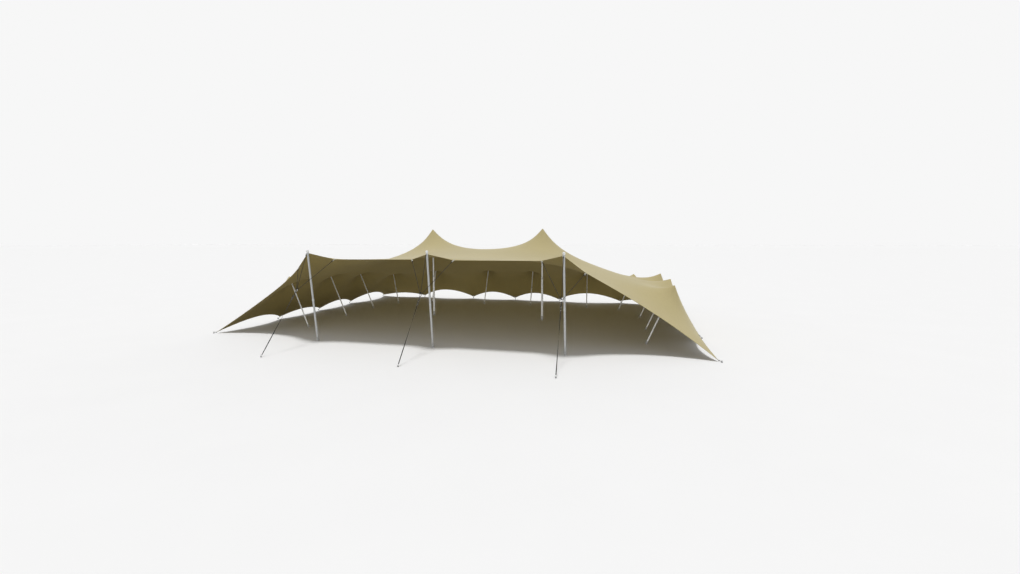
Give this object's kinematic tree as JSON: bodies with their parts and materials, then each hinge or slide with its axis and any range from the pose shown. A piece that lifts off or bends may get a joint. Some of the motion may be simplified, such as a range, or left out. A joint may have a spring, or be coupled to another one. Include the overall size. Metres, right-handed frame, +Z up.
{
  "type": "stretch tent",
  "caption": "Stretch fabric canopy open at the front, over two tall king poles, front poles and short side and back poles, with guys and hem pegs.",
  "frame": {"origin": "middle of the footprint on the ground", "axes": "+X to the right seen from the open front, +Y to the back, +Z up"},
  "size_m": [16.9466, 14.422, 3.797],
  "materials": {
    "canopy_fabric": "matte woven stretch fabric, sand coloured",
    "front_pole": "satin",
    "king_pole": "satin",
    "short_pole": "satin",
    "rope": "black braided rope",
    "webbing": "black webbing with a steel ratchet",
    "peg": "zinc plated, white cap"
  },
  "bodies": {
    "root": {"canopy": "canopy_fabric", "king_pole_left": "king_pole", "king_pole_right": "king_pole", "pole_left_1": "short_pole", "pole_left_2": "short_pole", "pole_left_3": "short_pole", "pole_left_4": "short_pole", "pole_right_1": "short_pole", "pole_right_2": "short_pole", "pole_right_3": "short_pole", "pole_right_4": "short_pole", "pole_back_1": "short_pole", "pole_back_2": "short_pole", "pole_back_3": "short_pole", "pole_back_4": "short_pole", "front_pole_left": "front_pole", "guy_peg_left": "peg", "guy_strap_left": "webbing", "rope_left_top": "rope", "rope_left_ear_left": "rope", "rope_left_ear_right": "rope", "front_pole_middle": "front_pole", "guy_peg_middle": "peg", "guy_strap_middle": "webbing", "rope_middle_top": "rope", "rope_middle_ear_left": "rope", "rope_middle_ear_right": "rope", "front_pole_right": "front_pole", "guy_peg_right": "peg", "guy_strap_right": "webbing", "rope_right_top": "rope", "rope_right_ear_left": "rope", "rope_right_ear_right": "rope", "hem_peg_front_left": "peg", "hem_peg_front_right": "peg", "hem_peg_left_1": "peg", "hem_peg_left_2": "peg", "hem_peg_left_3": "peg", "hem_peg_back_left": "peg", "hem_peg_back_1": "peg", "hem_peg_back_2": "peg", "hem_peg_back_3": "peg", "hem_peg_back_4": "peg", "hem_peg_back_5": "peg", "hem_peg_back_right": "peg", "hem_peg_right_3": "peg", "hem_peg_right_2": "peg", "hem_peg_right_1": "peg"}
  },
  "joints": []
}
